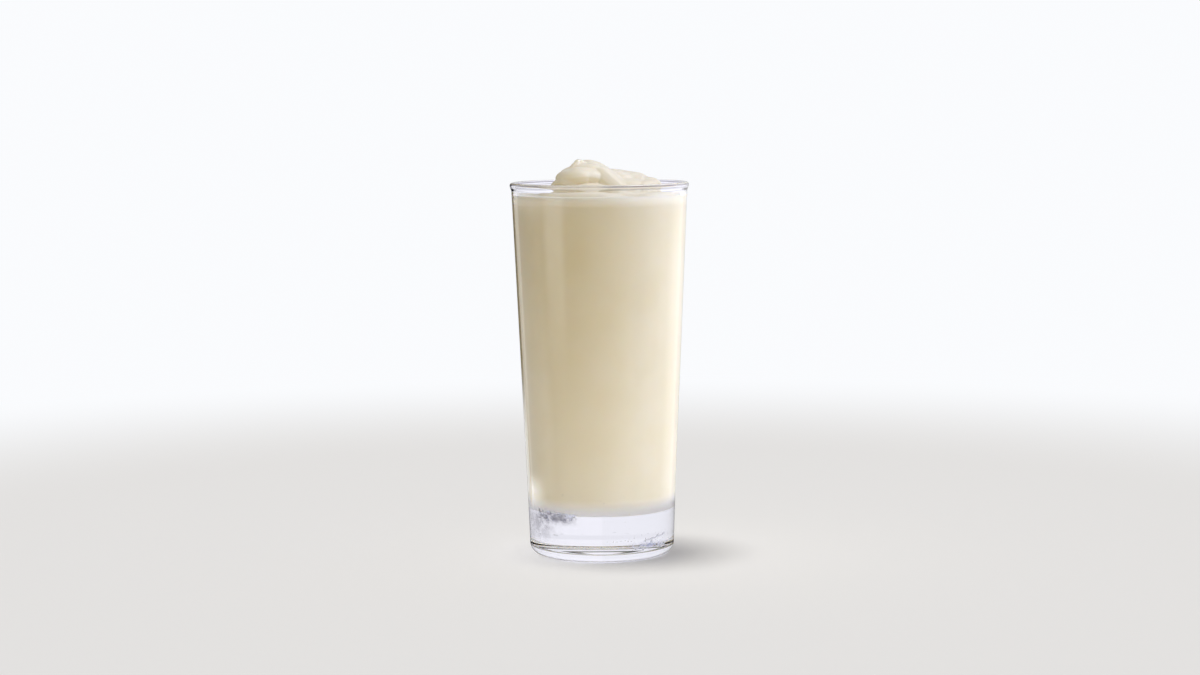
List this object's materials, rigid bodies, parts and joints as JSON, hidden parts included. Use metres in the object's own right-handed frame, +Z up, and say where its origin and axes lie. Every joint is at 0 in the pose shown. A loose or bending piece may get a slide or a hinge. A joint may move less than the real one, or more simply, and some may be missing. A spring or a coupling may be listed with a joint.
{
  "type": "vanilla milkshake in a glass",
  "caption": "Thick vanilla milkshake poured in soft folds that coil up to a small tip, filling a tall clear tumbler with a heavy base.",
  "frame": {"origin": "on the surface that the glass stands on, at the middle of its base", "axes": "+Z up along the axis of the glass, +X to the right and -Y towards the viewer in the pictured view"},
  "size_m": [0.0744, 0.0744, 0.1647],
  "materials": {
    "clear_glass": "clear polished glass, heavy base, fire-rounded rim bead",
    "vanilla_milkshake": null
  },
  "bodies": {
    "root": {"glass_tumbler": "clear_glass", "milkshake": "vanilla_milkshake"}
  },
  "joints": []
}
